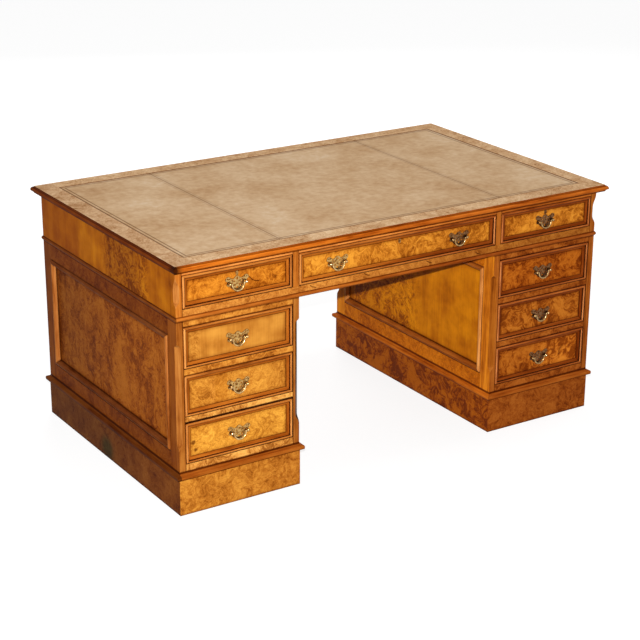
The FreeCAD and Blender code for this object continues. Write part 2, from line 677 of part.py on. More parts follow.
@functools.lru_cache(maxsize=None)
def door():
    """Right rear door: stiles, rails, sunk panel and its moulding."""
    low = BAY_IN + DOOR_GAP
    high = BAY_OUT - DOOR_GAP
    foot = DOOR_BASE + DOOR_GAP
    head = DOOR_BASE + DOOR_HEIGHT - DOOR_GAP
    depth = (FACE_Y - DOOR_THICKNESS, FACE_Y)
    inside = (low + DOOR_STILE, high - DOOR_STILE)
    hinged = box((high - DOOR_STILE, high), depth, (foot, head))
    for z in hinge_levels():
        hinged = hinged.cut(moved(door_leaf_plate(), 0, 0, z))
    panel_face = FACE_Y - PANEL_SINK
    panel_z = (foot + DOOR_STILE, head - DOOR_STILE)
    solids = [hinged, box((low, low + DOOR_STILE), depth, (foot, head)),
              box(inside, depth, (foot, foot + DOOR_STILE)), box(inside, depth, (head - DOOR_STILE, head)),
              box(inside, (panel_face - PANEL_THICKNESS, panel_face), panel_z)]
    frame = moulding_frame(inside[1] - inside[0], panel_z[1] - panel_z[0], panel_moulding_profile())
    centre = (inside[0] + inside[1]) / 2, (panel_z[0] + panel_z[1]) / 2
    return solids + [moved(turned_round(strip), centre[0], panel_face, centre[1]) for strip in frame]


def knob():
    """Turned knob on Y = 0, pointing to +Y."""
    rose = upright_cylinder(KNOB_ROSE, 0, 0, 0, KNOB_ROSE_THICKNESS)
    stem = upright_cylinder(KNOB_STEM, 0, 0, KNOB_ROSE_THICKNESS, KNOB_PROUD - KNOB_RADIUS)
    ball = Part.makeSphere(KNOB_RADIUS, FreeCAD.Vector(0, KNOB_PROUD - KNOB_RADIUS, 0))
    across = (-KNOB_RADIUS, KNOB_RADIUS)
    trim = box(across, (-KNOB_RADIUS, KNOB_ROSE_THICKNESS + KNOB_STEM), across)
    return rose.fuse([stem, ball.cut(trim)]).removeSplitter()


@functools.lru_cache(maxsize=None)
def door_fittings():
    """Right rear door's leaves, knob and key plate."""
    x = BAY_IN + DOOR_GAP + DOOR_STILE / 2
    middle = DOOR_BASE + DOOR_HEIGHT / 2
    solids = [moved(hinge_parts()[1], 0, 0, z) for z in hinge_levels()]
    solids.append(moved(knob(), x, FACE_Y, middle))
    solids.append(moved(turned_round(key_plate()), x, FACE_Y, middle + DOOR_KEY_PLATE_RISE))
    return solids


def export(name, solids):
    Part.makeCompound(solids).exportStep("parts/" + name + ".step")


def export_drawer(name, width, height, centre, handles=(0,), keyed=False, rear=False):
    """Drawer, its fittings and its bails, on the front or, turned round, on the back."""

    def placed(shape):
        at_front = moved(shape, -centre[0] if rear else centre[0], -FIELD_Y, centre[1])
        return turned_round(at_front) if rear else at_front

    export(name + "_drawer", [placed(solid) for solid in drawer(width, height, handles)])
    export(name + "_handle", [placed(solid) for solid in handle_fittings(handles, keyed)])
    for x in handles:
        side = "" if len(handles) == 1 else ("_left" if (x < 0) != rear else "_right")
        export(name + "_bail" + side, [placed(moved(bail(), x, 0, 0))])


def export_drawers():
    frieze_z = FRIEZE_DRAWER_BASE + FRIEZE_DRAWER_HEIGHT / 2
    handle_x = KNEEHOLE_WIDTH / 2 - CENTRE_HANDLE_INSET
    pair = (-handle_x, handle_x)
    for face, rear in (("front", False), ("rear", True)):
        places = (("left", -BAY_CENTRE, BAY_WIDTH, (0,)), ("centre", 0, KNEEHOLE_WIDTH, pair),
                  ("right", BAY_CENTRE, BAY_WIDTH, (0,)))
        for place, x, width, handles in places:
            name = face + "_" + place + "_frieze"
            export_drawer(name, width, FRIEZE_DRAWER_HEIGHT, (x, frieze_z), handles, True, rear)
    for side, x in (("left", -BAY_CENTRE), ("right", BAY_CENTRE)):
        for level, rank in enumerate(("lower", "middle", "upper")):
            centre = (x, drawer_base(level) + DRAWER_HEIGHT / 2)
            export_drawer(side + "_" + rank, BAY_WIDTH, DRAWER_HEIGHT, centre)


os.makedirs("parts", exist_ok=True)
export("desktop_core", desktop_core())
export("desktop_border", desktop_border())
export("leather_panels", leather_panels())
export("frieze_ends", frieze_ends())
export("frieze_front_frame", frieze_frame())
export("frieze_rear_frame", [mirrored_y(solid) for solid in frieze_frame()])
export("frieze_internals", frieze_internals())
export("waist_moulding", waist_moulding())
export("right_pedestal_frame", pedestal_frame(False))
export("left_pedestal_frame", [mirrored_x(solid) for solid in pedestal_frame(True)])
export("pedestal_internals", pedestal_internals() + [mirrored_x(solid) for solid in pedestal_internals()])
export("side_panels", side_panels())
export("panel_mouldings", panel_mouldings())
export("plinths", plinths())
export("plinth_mouldings", plinth_mouldings())
export("hinge_leaves", hinge_leaves())
export("rear_right_door", door())
export("rear_left_door", [mirrored_x(solid) for solid in door()])
export("rear_right_door_fittings", door_fittings())
export("rear_left_door_fittings", [mirrored_x(solid) for solid in door_fittings()])
export_drawers()
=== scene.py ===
"""A burr walnut partners desk: its finishes, a plain studio and the photograph's camera."""

import math

import bpy
from mathutils import Matrix, Vector


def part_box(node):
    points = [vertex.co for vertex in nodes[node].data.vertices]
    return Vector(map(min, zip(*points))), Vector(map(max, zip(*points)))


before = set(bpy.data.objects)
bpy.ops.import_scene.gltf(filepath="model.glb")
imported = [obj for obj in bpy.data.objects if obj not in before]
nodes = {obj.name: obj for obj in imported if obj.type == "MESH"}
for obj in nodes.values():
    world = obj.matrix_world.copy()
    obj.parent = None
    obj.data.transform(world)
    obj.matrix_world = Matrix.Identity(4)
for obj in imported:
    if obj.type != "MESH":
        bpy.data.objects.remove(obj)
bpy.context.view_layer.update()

# Places on the desk that the finishes follow, in metres
OUTER_X = 0.766
INNER_X = 0.360
PEDESTAL_MIDDLE_X = (INNER_X + OUTER_X) / 2
FACE_Y = 0.448
FIELD_Y = 0.440
STILE = 0.022
SIDE_STILE = 0.050
PANEL_MOULDING = 0.020
DRAWER_FRONT_BACK = 0.4245
DRAWER_BEAD = 0.0082
DRAWER_STRIP = 0.017
DOOR_BACK = 0.4285
PLINTH_TOP = 0.117
PLINTH_BEAD_TOP = 0.137
FOOT_RAIL = (0.13, 0.165)
LOW_RAIL = (0.280, 0.312)
OPENING_HEADS = (0.2865, 0.43375, 0.581)
FRIEZE_BASE = 0.601
WAIST_TOP = 0.615
FRIEZE_BOTTOM_RAIL = 0.034
TOP_BASE = 0.753
FRIEZE_TOP_RAIL = 0.0175
FRIEZE_HEAD_LEVEL = TOP_BASE - FRIEZE_TOP_RAIL
TOP_LEVEL = 0.775
TOP_X = 0.787
LEATHER_X = 0.719
LEATHER_Y = 0.414
LEATHER_DIVIDER_X = 0.400
DARK_CORNER = (-0.785, -0.480, 0.765)
PLINTH_STAIN = (-0.766, 0.030, 0.030)

# Reaches of the finishes and of the tests that pick them, in metres
NEAR = 0.0005
QUIRK_REACH = 0.0012
PLATE_PROUD = 0.0022
MIDDLE_BLEND = 0.3
TOOLED_LINE_INSET = 0.015
DIVIDER_LINE_GAP = 0.009
LINE_SOFT = 0.0012
FINE_SOFT = 0.001
WEAR_AND_HIGHLIGHT_REACH = 0.003
BRASS_HOLLOW = 0.007

# How squarely a face looks along an axis, as its normal's share along it
SQUARE = 0.9
MOSTLY = 0.8
PARTLY = 0.3
EDGE_ON = 0.1

# The photograph's camera
CAMERA_AZIMUTH = -32.68
CAMERA_ELEVATION = 20.47
CAMERA_ROLL = 0.255
CAMERA_DISTANCE = 5.665
CAMERA_TARGET = Vector((0.0, 0.0, 0.3875))
CAMERA_RIGHT = -0.0002
CAMERA_UP = -0.0665
CAMERA_LENS = 97.6
CAMERA_SENSOR = 36.0

# Light levels: 1 on a surface is the level at which its colour shows as written
AMBIENT = 0.045
BACKGROUND = 1.0
FLOOR_GREY = 0.25
FLOOR_GLOW_NEAR = 0.8
FLOOR_GLOW_FAR = 0.92

# The floor's width, and how far from its middle its glow starts and stops growing, in metres
FLOOR_SIZE = 60.0
FLOOR_NEAR = 1.2
FLOOR_FAR = 3.2

# Rays that a corner or an edge is felt with
CORNER_SAMPLES = 6


def srgb(red, green, blue):
    """A colour read off a screen, 0 to 255, as the linear colour that nodes use."""
    def linear(value):
        value /= 255.0
        if value <= 0.04045:
            return value / 12.92
        return ((value + 0.055) / 1.055) ** 2.4
    return (linear(red), linear(green), linear(blue), 1.0)


class Paint:
    """A material being made, with short calls that add nodes to its tree."""

    def __init__(self, name, **sockets):
        self.material = bpy.data.materials.new(name)
        self.material.use_nodes = True
        self.tree = self.material.node_tree
        self.shader = self.tree.nodes["Principled BSDF"]
        for socket, value in sockets.items():
            self.shader.inputs[socket].default_value = value

    def add(self, kind, inputs, output=0, **settings):
        """A new node with its inputs linked or set, as one of its outputs."""
        node = self.tree.nodes.new(kind)
        for key, value in settings.items():
            setattr(node, key, value)
        for key, value in inputs.items():
            if isinstance(value, bpy.types.NodeSocket):
                self.tree.links.new(value, node.inputs[key])
            else:
                node.inputs[key].default_value = value
        return node.outputs[output]

    def place(self):
        """The point that is being painted, in the desk's own frame."""
        return self.add("ShaderNodeTexCoord", {}, "Object")

    def along(self, axis):
        """Where the point lies along one axis."""
        return self.parts(self.place())["xyz".index(axis)]

    def parts(self, vector):
        """A vector's x, y and z."""
        node = self.tree.nodes.new("ShaderNodeSeparateXYZ")
        self.tree.links.new(vector, node.inputs[0])
        return node.outputs

    def calc(self, operation, a, b=0.0, c=0.0):
        """One step of arithmetic on numbers."""
        return self.add("ShaderNodeMath", {0: a, 1: b, 2: c}, operation=operation)

    def vector(self, operation, a, b=(0, 0, 0), c=(0, 0, 0)):
        """One step of arithmetic on vectors, whose answer is a vector."""
        return self.add("ShaderNodeVectorMath", {0: a, 1: b, 2: c}, operation=operation)

    def measure(self, operation, a, b=(0, 0, 0)):
        """One step on vectors whose answer is a number, such as DISTANCE or DOT_PRODUCT."""
        return self.add("ShaderNodeVectorMath", {0: a, 1: b}, "Value", operation=operation)

    def noise(self, vector, scale, detail=3.0, roughness=0.55, output=0, swirl=0.0):
        """Soft noise about a half, as a number, or as a colour with output 1."""
        inputs = {"Vector": vector, "Scale": scale, "Detail": detail}
        inputs.update({"Roughness": roughness, "Distortion": swirl})
        return self.add("ShaderNodeTexNoise", inputs, output)

    def cells(self, vector, scale):
        """The distance from the nearest of many scattered points."""
        return self.add("ShaderNodeTexVoronoi", {"Vector": vector, "Scale": scale}, "Distance")

    def smooth(self, value, low, high, start=0.0, end=1.0):
        """A smooth step from start to end as the value goes from low to high."""
        inputs = {0: value, 1: low, 2: high, 3: start, 4: end}
        return self.add("ShaderNodeMapRange", inputs, interpolation_type="SMOOTHSTEP")

    def mix(self, factor, a, b, blend="MIX"):
        """Colour a, blended with colour b as far as the factor says."""
        inputs = {0: factor, 6: a, 7: b}
        return self.add("ShaderNodeMix", inputs, 2, data_type="RGBA", blend_type=blend)

    def tint(self, factor, colour, by):
        """The colour multiplied by another as far as the factor says."""
        return self.mix(factor, colour, by, "MULTIPLY")

    def spread(self, *waves):
        """Noises added about a middle of a half, each with its share."""
        total = 0.5
        for wave, share in waves:
            total = self.calc("MULTIPLY_ADD", self.calc("SUBTRACT", wave, 0.5), share, total)
        return total

    def ramp(self, value, colours, low=0.2, high=0.8):
        """The colours in turn, evenly spaced from low to high."""
        node = self.tree.nodes.new("ShaderNodeValToRGB")
        self.tree.links.new(value, node.inputs[0])
        stops = node.color_ramp.elements
        step = (high - low) / (len(colours) - 1)
        while len(stops) < len(colours):
            stops.new(0.5)
        for i, colour in enumerate(colours):
            stops[i].position = low + i * step
            stops[i].color = colour
        return node.outputs[0]

    def hollow(self, distance):
        """1 deep in a corner or a gap, 0 out on an open face."""
        inputs = {"Distance": distance}
        sky = self.add("ShaderNodeAmbientOcclusion", inputs, "AO", samples=CORNER_SAMPLES)
        return self.smooth(sky, 0.45, 0.95, 1.0, 0.0)

    def arris(self, distance):
        """1 on a sharp outer edge, 0 on a flat face."""
        inputs = {"Distance": distance}
        air = self.add("ShaderNodeAmbientOcclusion", inputs, "AO", samples=CORNER_SAMPLES,
                       only_local=True, inside=True)
        return self.smooth(air, 0.35, 0.75)

    def finish(self, colour, roughness=None, height=None, bump=0.0002):
        """Joins the colour, roughness and relief to the shader."""
        self.tree.links.new(colour, self.shader.inputs["Base Color"])
        if roughness is not None:
            self.tree.links.new(roughness, self.shader.inputs["Roughness"])
        if height is not None:
            normal = self.add("ShaderNodeBump", {"Height": height, "Distance": bump})
            self.tree.links.new(normal, self.shader.inputs["Normal"])
        return self.material


# Polish, dirt and wear, and tints for painted shade and painted highlight
SHELLAC = (1.0, 0.74, 0.46, 1.0)
POLISH = {"Specular IOR Level": 0.03, "Roughness": 0.34, "Specular Tint": SHELLAC}
SIDE_POLISH = {"Specular IOR Level": 0.01, "Roughness": 0.4, "Specular Tint": SHELLAC}
TOP_POLISH = {"Specular IOR Level": 0.02, "Roughness": 0.75}
# Dark tint for knots, shakes, burr eyes and dirt, and for painted shade in corners, gaps and beside mouldings
DARK_MARK_AND_SHADE = (0.20, 0.11, 0.06, 1.0)
# Tint of the soft painted shade beside moulding strips
SHADE = (0.62, 0.5, 0.42, 1.0)
# Light tint of outer edges, for wear and a painted highlight
WEAR_AND_HIGHLIGHT = (1.5, 1.7, 2.2, 1.0)
SHADES = ((0.46, 0.34, 0.22), (0.84, 0.76, 0.66), (1.13, 1.20, 1.24), (1.34, 1.58, 1.8))
PALEST = 0.92
PATINA = (0.22, 0.15, 0.08, 1.0)
# Tints for dark lines of dirt and painted shade at joints and gaps
GRIME_AND_SHADE = (0.26, 0.18, 0.13)
SOFT_GRIME_AND_SHADE = (0.5, 0.42, 0.36)
# Tint of a painted shadow in a gap
GAP_SHADOW = (0.10, 0.07, 0.05)
PALE = (1.25, 1.5, 2.2)


def four_tones(colour):
    """Four tones of one finish about its middle colour, dark to light."""
    middle = srgb(*colour)
    return [tuple(min(PALEST, m * s) for m, s in zip(middle, shade)) + (1.0,) for shade in SHADES]


def moved_place(p, seed):
    """The point moved away by the seed, so that no two woods share their figure."""
    return p.vector("ADD", p.place(), (seed * 3.1, seed * 1.7, seed * 2.3))


def burr_tone(p, seed, cloud=0.5, curl=1.1, fleck=0.8, vein=0.1, streak=0.0):
    """Clouds, curls and veins of burr wood as a tone about a half, and 1 on its small dark eyes."""
    moved = moved_place(p, seed)
    drift = p.vector("SUBTRACT", p.noise(moved, 14.0, 3.0, 0.5, 1), (0.5, 0.5, 0.5))
    bent = p.vector("MULTIPLY_ADD", drift, (0.08, 0.08, 0.08), moved)
    clouds = p.noise(bent, 11.0, 3.0, 0.55)
    curls = p.noise(bent, 34.0, 6.0, 0.66, swirl=1.4)
    flecks = p.noise(bent, 210.0, 4.0, 0.65)
    ridge = p.calc("ABSOLUTE", p.calc("SUBTRACT", p.noise(bent, 24.0, 2.0, 0.5), 0.5))
    veins = p.smooth(ridge, 0.0, 0.05, 0.0, 0.5)
    streaks = p.noise(p.vector("MULTIPLY", moved, (1, 1, 0.25)), 17.0, 4.0, 0.6)
    tone = p.spread((clouds, cloud), (curls, curl), (flecks, fleck), (veins, vein), (streaks, streak))
    crowd = p.smooth(p.noise(moved, 9.0, 2.0), 0.50, 0.64)
    eye = p.smooth(p.cells(bent, 85.0), 0.08, 0.34, 1.0, 0.0)
    return tone, p.calc("MULTIPLY", eye, crowd)


def grain_tone(p, seed, axis, band=0.9, fibre=0.9, patch=0.5):
    """Straight grain along one axis, as a tone about a half."""
    moved = moved_place(p, seed)
    along = [1.0, 1.0, 1.0]
    along["xyz".index(axis)] = 0.05
    drawn = p.vector("MULTIPLY", moved, tuple(along))
    bands = p.noise(drawn, 45.0, 3.0, 0.5)
    fibres = p.noise(drawn, 260.0, 4.0, 0.6)
    patches = p.noise(moved, 16.0, 3.0, 0.5)
    return p.spread((bands, band), (fibres, fibre), (patches, patch))


def two_sided(p, tone, left, right):
    """One finish that changes from the desk's left pedestal to its right."""
    colour = p.ramp(tone, four_tones(left))
    if right is None:
        return colour
    rightward = p.smooth(p.along("x"), -MIDDLE_BLEND, MIDDLE_BLEND)
    return p.mix(rightward, colour, p.ramp(tone, four_tones(right)))


def veneer(name, left, seed, right=None, calm=None, marks=(), polish=POLISH, grime=0.010, eyes=0.3, **figure):
    """Burr veneer, with straight-grained stretches where calm says and the marks listed."""
    p = Paint(name, **polish)
    tone, eye = burr_tone(p, seed, **figure)
    if calm is not None:
        still = calm(p)
        plain = grain_tone(p, seed, "z", band=0.3, fibre=0.25, patch=0.8)
        tone = p.add("ShaderNodeMix", {0: still, 2: tone, 3: plain})
        eye = p.calc("MULTIPLY", eye, p.calc("SUBTRACT", 1.0, still))
    colour = two_sided(p, tone, left, right)
    colour = p.tint(p.calc("MULTIPLY", eye, eyes), colour, DARK_MARK_AND_SHADE)
    for mark in marks:
        colour = mark(p, colour)
    # Dirt and painted shade in corners and gaps
    colour = p.tint(p.hollow(grime), colour, DARK_MARK_AND_SHADE)
    return p.finish(colour, height=tone)


def straight(name, left, axis, seed, right=None, worn=0.0, grime=0.009, polish=POLISH, marks=()):
    """Straight-grained solid wood, with dirt and painted shade in its corners, and its edges lighter for wear
    and as a painted highlight.
    """
    p = Paint(name, **polish)
    tone = grain_tone(p, seed, axis)
    colour = two_sided(p, tone, left, right)
    for mark in marks:
        colour = mark(p, colour)
    # Edges lighter for wear and as a painted highlight
    if worn:
        colour = p.tint(p.calc("MULTIPLY", p.arris(WEAR_AND_HIGHLIGHT_REACH), worn), colour, WEAR_AND_HIGHLIGHT)
    # Dirt and painted shade in corners and gaps
    colour = p.tint(p.hollow(grime), colour, DARK_MARK_AND_SHADE)
    return p.finish(colour, height=tone)


def knot(x, z, radius, depth=0.85):
    """A dark knot on a front face."""
    def mark(p, colour):
        flat = p.vector("MULTIPLY", p.place(), (1, 0, 1))
        gap = p.measure("DISTANCE", flat, (x, 0, z))
        ragged = p.calc("MULTIPLY_ADD", p.noise(flat, 160.0), radius, p.calc("SUBTRACT", gap, radius / 2))
        return p.tint(p.smooth(ragged, radius * 0.3, radius, depth, 0.0), colour, DARK_MARK_AND_SHADE)
    return mark


def shake(points, width=0.0018, depth=0.9):
    """A fine dark crack on a front face, along points of x and z."""
    def mark(p, colour):
        flat = p.vector("MULTIPLY", p.place(), (1, 0, 1))
        nearest = None
        for (x0, z0), (x1, z1) in zip(points, points[1:]):
            run = Vector((x1 - x0, 0, z1 - z0))
            from_start = p.vector("SUBTRACT", flat, (x0, 0, z0))
            share = p.measure("DOT_PRODUCT", from_start, tuple(run / run.length_squared))
            share = p.calc("MINIMUM", p.calc("MAXIMUM", share, 0.0), 1.0)
            foot = p.vector("SCALE", tuple(run))
            p.tree.links.new(share, foot.node.inputs["Scale"])
            gap = p.measure("DISTANCE", from_start, foot)
            nearest = gap if nearest is None else p.calc("MINIMUM", nearest, gap)
        return p.tint(p.smooth(nearest, width * 0.4, width, depth, 0.0), colour, DARK_MARK_AND_SHADE)
    return mark


def within(p, value, low, high, soft):
    """1 between low and high, fading over soft at both ends."""
    up = p.smooth(value, low - soft, low + soft)
    down = p.smooth(value, high - soft, high + soft, 1.0, 0.0)
    return p.calc("MULTIPLY", up, down)


def band(axis, low, high, by, soft=0.004):
    """A stretch along an axis where the wood is tinted."""
    def mark(p, colour):
        return p.tint(within(p, p.along(axis), low, high, soft), colour, (*by, 1.0))
    return mark


def dirt_and_shade_line(level, below, above, by=GRIME_AND_SHADE, soft=LINE_SOFT):
    """A dark level line at a joint, from below its level to above it: dirt and painted shade."""
    return band("z", level - below, level + above, by, soft)


def on_left(mark):
    """A mark that shows only on the desk's left half."""
    def half(p, colour):
        rightward = p.smooth(p.along("x"), -MIDDLE_BLEND, MIDDLE_BLEND)
        return p.mix(rightward, mark(p, colour), colour)
    return half


def fade(axis, start, end, by):
    """A tint that grows along an axis from start to end."""
    low, high = min(start, end), max(start, end)

    def mark(p, colour):
        share = p.smooth(p.along(axis), low, high, float(start > end), float(start < end))
        return p.tint(share, colour, (*by, 1.0))
    return mark


def left_side(by):
    """A tint on whatever stands out past the pedestals' left side."""
    return fade("x", NEAR - OUTER_X, -NEAR - OUTER_X, by)


def to_ends(p, axis, low, high):
    """How far the point is, along an axis, from the nearer of two ends."""
    value = p.along(axis)
    return p.calc("MINIMUM", p.calc("SUBTRACT", value, low), p.calc("SUBTRACT", high, value))


def rim_dirt_and_shade(p, colour, across, upright, strip, shade, line):
    """Dirt and painted shade in a frame of moulding strips: a soft painted shade beside them, and a fine dark
    line of dirt and painted shade along them.

    The shade has its width and depth, the line its start, end and depth, counted from the strips' inner edge.
    """
    inside = p.calc("SUBTRACT", p.calc("MINIMUM", across, upright), strip)
    colour = p.tint(p.smooth(inside, 0.0, shade[0], shade[1], 0.0), colour, SHADE)
    return p.tint(p.smooth(inside, line[0], line[1], line[2], 0.0), colour, DARK_MARK_AND_SHADE)


def rim(node):
    """Dirt and painted shade round a drawer's field."""
    low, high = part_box(node)

    def mark(p, colour):
        across = to_ends(p, "x", low.x, high.x)
        upright = to_ends(p, "z", low.z, high.z)
        return rim_dirt_and_shade(p, colour, across, upright, DRAWER_STRIP, (0.014, 0.75), (0.001, 0.004, 0.85))
    return mark


def panel_rim(p, colour):
    """Dirt and painted shade on a side panel along the mouldings that hold it."""
    low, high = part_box("panel_mouldings")
    across = to_ends(p, "y", low.y, high.y)
    upright = to_ends(p, "z", low.z, high.z)
    return rim_dirt_and_shade(p, colour, across, upright, PANEL_MOULDING, (0.022, 0.7), (0.002, 0.007, 0.9))


def spot(place, radius, by):
    """A worn or dirty place, round about a point."""
    def mark(p, colour):
        gap = p.measure("DISTANCE", p.place(), place)
        return p.tint(p.smooth(gap, radius * 0.3, radius, 1.0, 0.0), colour, (*by, 1.0))
    return mark


def stretch(axis, low, high, soft=0.006):
    """Where a veneer is straight-grained: between two places along an axis."""
    def calm(p):
        return within(p, p.along(axis), low, high, soft)
    return calm


def either(*calms):
    """Where a veneer is straight-grained: in any of several stretches."""
    def calm(p):
        still = calms[0](p)
        for other in calms[1:]:
            still = p.calc("MAXIMUM", still, other(p))
        return still
    return calm


def leather():
    """Mottled tan hide with a fine pebbled grain and blind-tooled lines near its edges."""
    p = Paint("leather", **TOP_POLISH)
    place = p.place()
    x, y = p.parts(place)[:2]
    mottle = p.noise(place, 5.0, 4.0, 0.6)
    patches = p.noise(place, 40.0, 6.0, 0.7)
    grain = p.cells(place, 520.0)
    tone = p.spread((mottle, 0.75), (patches, 0.5))
    tans = (srgb(162, 122, 85), srgb(184, 149, 111), srgb(200, 169, 134), srgb(211, 189, 160))
    colour = p.ramp(tone, tans)
    side = p.calc("ABSOLUTE", x)
    to_divider = p.calc("ABSOLUTE", p.calc("SUBTRACT", side, LEATHER_DIVIDER_X))
    to_end = p.calc("SUBTRACT", LEATHER_X, side)
    to_front = p.calc("SUBTRACT", LEATHER_Y, p.calc("ABSOLUTE", y))
    to_border = p.calc("MINIMUM", to_end, to_front)
    dark = srgb(92, 56, 28)
    colour = p.mix(p.smooth(to_border, 0.003, 0.008, 0.85, 0.0), colour, dark)
    tooled = p.calc("ABSOLUTE", p.calc("SUBTRACT", to_border, TOOLED_LINE_INSET))
    line = p.smooth(tooled, 0.0012, 0.0036, 0.65, 0.0)
    colour = p.mix(line, colour, dark)
    beside = p.calc("ABSOLUTE", p.calc("SUBTRACT", to_divider, DIVIDER_LINE_GAP))
    colour = p.mix(p.smooth(beside, 0.001, 0.004, 0.22, 0.0), colour, dark)
    colour = p.mix(p.smooth(to_divider, 0.001, 0.004, 0.5, 0.0), colour, dark)
    height = p.calc("SUBTRACT", p.calc("MULTIPLY", grain, 0.35), line)
    return p.finish(colour, height=height, bump=0.0004)


def brass(name, left, right, gloss, blotch=0.0):
    """Aged brass, rubbed bright and brown in the hollows, with two tones for the desk's two sides: a painted
    reflection, lighter on the left.
    """
    p = Paint(name, Metallic=1.0)
    cloud = p.noise(p.place(), 150.0, 4.0, 0.65)
    colour = two_sided(p, p.spread((cloud, 1.5)), left, right)
    if blotch:
        colour = p.tint(p.smooth(cloud, 0.38, 0.47, blotch, 0.0), colour, PATINA)
    colour = p.tint(p.hollow(BRASS_HOLLOW), colour, PATINA)
    rough = p.smooth(cloud, 0.3, 0.7, gloss + 0.15, gloss)
    return p.finish(colour, roughness=rough, height=cloud, bump=0.0005)


def dress(node, rule):
    """Gives each face of a CAD node the material that the rule picks from its centre and normal."""
    mesh = nodes[node].data
    mesh.materials.clear()
    slots = {}
    for face in mesh.polygons:
        material = rule(face.center, face.normal)
        if material.name not in slots:
            slots[material.name] = len(slots)
            mesh.materials.append(material)
        face.material_index = slots[material.name]


def grained(name, axes, left, seed, **more):
    """One solid wood with its grain along each of the axes in turn."""
    return {axis: straight(name + "_" + axis, left, axis, seed, **more) for axis in axes}


# Brass, leather, drawer linings and drawer mouldings
# The left-hand plates and bails are coloured lighter than the right-hand ones: painted reflection
PLATE = brass("plate_brass", (188, 146, 86), (116, 80, 50), 0.26, blotch=0.6)
BAIL = brass("bail_brass", (206, 172, 118), (170, 138, 92), 0.18)
HINGE = brass("hinge_brass", (150, 116, 66), (150, 116, 66), 0.4, blotch=0.3)
LEATHER = leather()
LINING_X = straight("lining_x", (188, 142, 88), "x", 1)
LINING_Y = straight("lining_y", (188, 142, 88), "y", 2)
# Dark wood on the faces inside the gaps and openings: painted shade
GAP_SHADE_WOOD = straight("gap_shade_wood", (78, 42, 18), "x", 15)
# Dark groove between each bead and cove: dirt and painted shade in the quirk
QUIRK = straight("quirk", (78, 36, 10), "x", 40, right=(58, 25, 7))
# Beads coloured lighter than the coves, the upright beads lightest: painted highlight on the beads and
# painted shade in the coves
BEAD = grained("bead", "x", (170, 96, 34), 3, right=(150, 74, 26), worn=0.4, grime=0.005)
BEAD["z"] = straight("upright_strip_bead", (186, 112, 48), "z", 43, right=(182, 104, 50), worn=0.4,
                     grime=0.005)
COVE = grained("cove", "xz", (164, 86, 22), 19, right=(130, 58, 14), grime=0.007)

# Dark lines along the joints and gaps: dirt, and painted shade under the mouldings and in the gaps
FOOT_LINE = dirt_and_shade_line(PLINTH_BEAD_TOP, 0.001, 0.0025)
WAIST_LINE = dirt_and_shade_line(FRIEZE_BASE, 0.0035, 0.0005, SOFT_GRIME_AND_SHADE)
PLINTH_LINE = dirt_and_shade_line(PLINTH_TOP, 0.0035, 0.0005)
PLINTH_BEAD_LINES = (dirt_and_shade_line(PLINTH_TOP, 0.001, 0.002, soft=FINE_SOFT),
                     dirt_and_shade_line(PLINTH_BEAD_TOP, 0.004, 0.0005, soft=FINE_SOFT))
WAIST_BEAD_LINES = (dirt_and_shade_line(FRIEZE_BASE, 0.0015, 0.002, SOFT_GRIME_AND_SHADE, FINE_SOFT),
                    dirt_and_shade_line(WAIST_TOP, 0.0025, 0.0005, SOFT_GRIME_AND_SHADE, FINE_SOFT))
JOINT_DIRT_AND_SHADE = (FOOT_LINE, WAIST_LINE)
HEAD_DIRT_AND_SHADE = [dirt_and_shade_line(head, 0.002, 0.0034) for head in OPENING_HEADS]
# A black band along the left rail's lower edge, over the lowest drawer: painted shadow in the gap
LOW_GAP_SHADOW = on_left(dirt_and_shade_line(OPENING_HEADS[0], 0.0015, 0.006, GAP_SHADOW, 0.0015))


def side_dirt_and_shade(*names):
    """Dirt and painted gap shade on the posts beside the openings of the drawers named."""
    lines = []
    for name in names:
        low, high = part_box(name + "_drawer")
        lines.append(band("x", low.x - 0.003, low.x, GRIME_AND_SHADE, FINE_SOFT))
        lines.append(band("x", high.x, high.x + 0.003, GRIME_AND_SHADE, FINE_SOFT))
    return lines


# Mouldings that run round the desk
EDGE = grained("edge", "xy", (170, 84, 17), 13, right=(158, 76, 18), worn=0.5, polish=SIDE_POLISH, marks=(
    fade("x", 0.016 - TOP_X, 0.011 - TOP_X, (0.3, 0.25, 0.36)),
    # The lowest band of the edge darkened: painted shade under the top's edge
    fade("z", TOP_BASE + 0.0045, TOP_BASE + 0.0025, (0.3, 0.22, 0.2)),
    band("z", TOP_LEVEL - 0.005, TOP_LEVEL - 0.0025, (0.42, 0.34, 0.26), 0.0008),
    spot(DARK_CORNER, 0.035, (0.34, 0.36, 0.5))))
WAIST = grained("waist", "xy", (156, 80, 22), 31, right=(140, 66, 18), worn=0.4, polish=SIDE_POLISH, marks=(
    left_side((0.45, 0.42, 0.5)), *WAIST_BEAD_LINES))
PLINTH_BEAD = grained("plinth_bead", "xy", (146, 73, 18), 32, right=(150, 74, 20), worn=0.25,
                      polish=SIDE_POLISH, marks=(left_side((0.36, 0.34, 0.45)), *PLINTH_BEAD_LINES))
INNER_PLINTH_BEAD = straight("inner_plinth_bead", (172, 86, 18), "y", 41, worn=0.4, marks=PLINTH_BEAD_LINES)

